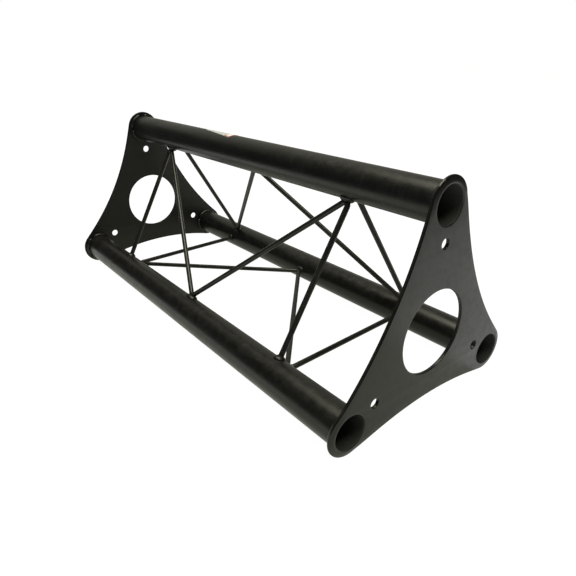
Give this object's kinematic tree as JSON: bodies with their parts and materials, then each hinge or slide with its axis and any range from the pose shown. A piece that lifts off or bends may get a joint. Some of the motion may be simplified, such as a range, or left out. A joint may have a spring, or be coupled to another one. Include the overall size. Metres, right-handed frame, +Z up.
{
  "type": "lighting truss section",
  "caption": "Triangular welded steel truss section with round chord tubes, bent round-bar lacing and shaped end plates with bolt holes.",
  "frame": {"origin": "on the floor, below the middle of the truss, where the end plates' lower corners rest", "axes": "+X along the truss towards the right end plate, +Z up to the top chord, -Y towards the front chord"},
  "size_m": [0.5, 0.218, 0.1944],
  "materials": {
    "chord_paint": "satin black powder coat on steel tube",
    "plate_paint": "satin black powder coat on steel plate",
    "lacing_paint": "satin black powder coat on steel bar",
    "weld_paint": "rippled weld bead under satin black powder coat",
    "label_film": "blank vinyl label"
  },
  "bodies": {
    "root": {"chord_tube_top": "chord_paint", "chord_tube_front": "chord_paint", "chord_tube_rear": "chord_paint", "end_plate_left": "plate_paint", "plate_weld_left_top": "weld_paint", "plate_weld_left_front": "weld_paint", "plate_weld_left_rear": "weld_paint", "end_plate_right": "plate_paint", "plate_weld_right_top": "weld_paint", "plate_weld_right_front": "weld_paint", "plate_weld_right_rear": "weld_paint", "lacing_bar_front": "lacing_paint", "lacing_weld_front_foot_left": "weld_paint", "lacing_weld_front_bend_left": "weld_paint", "lacing_weld_front_bend_middle": "weld_paint", "lacing_weld_front_bend_right": "weld_paint", "lacing_weld_front_foot_right": "weld_paint", "lacing_bar_bottom": "lacing_paint", "lacing_weld_bottom_foot_left": "weld_paint", "lacing_weld_bottom_bend_left": "weld_paint", "lacing_weld_bottom_bend_middle": "weld_paint", "lacing_weld_bottom_bend_right": "weld_paint", "lacing_weld_bottom_foot_right": "weld_paint", "lacing_bar_rear": "lacing_paint", "lacing_weld_rear_foot_left": "weld_paint", "lacing_weld_rear_bend_left": "weld_paint", "lacing_weld_rear_bend_middle": "weld_paint", "lacing_weld_rear_bend_right": "weld_paint", "lacing_weld_rear_foot_right": "weld_paint", "label": "label_film"}
  },
  "joints": []
}
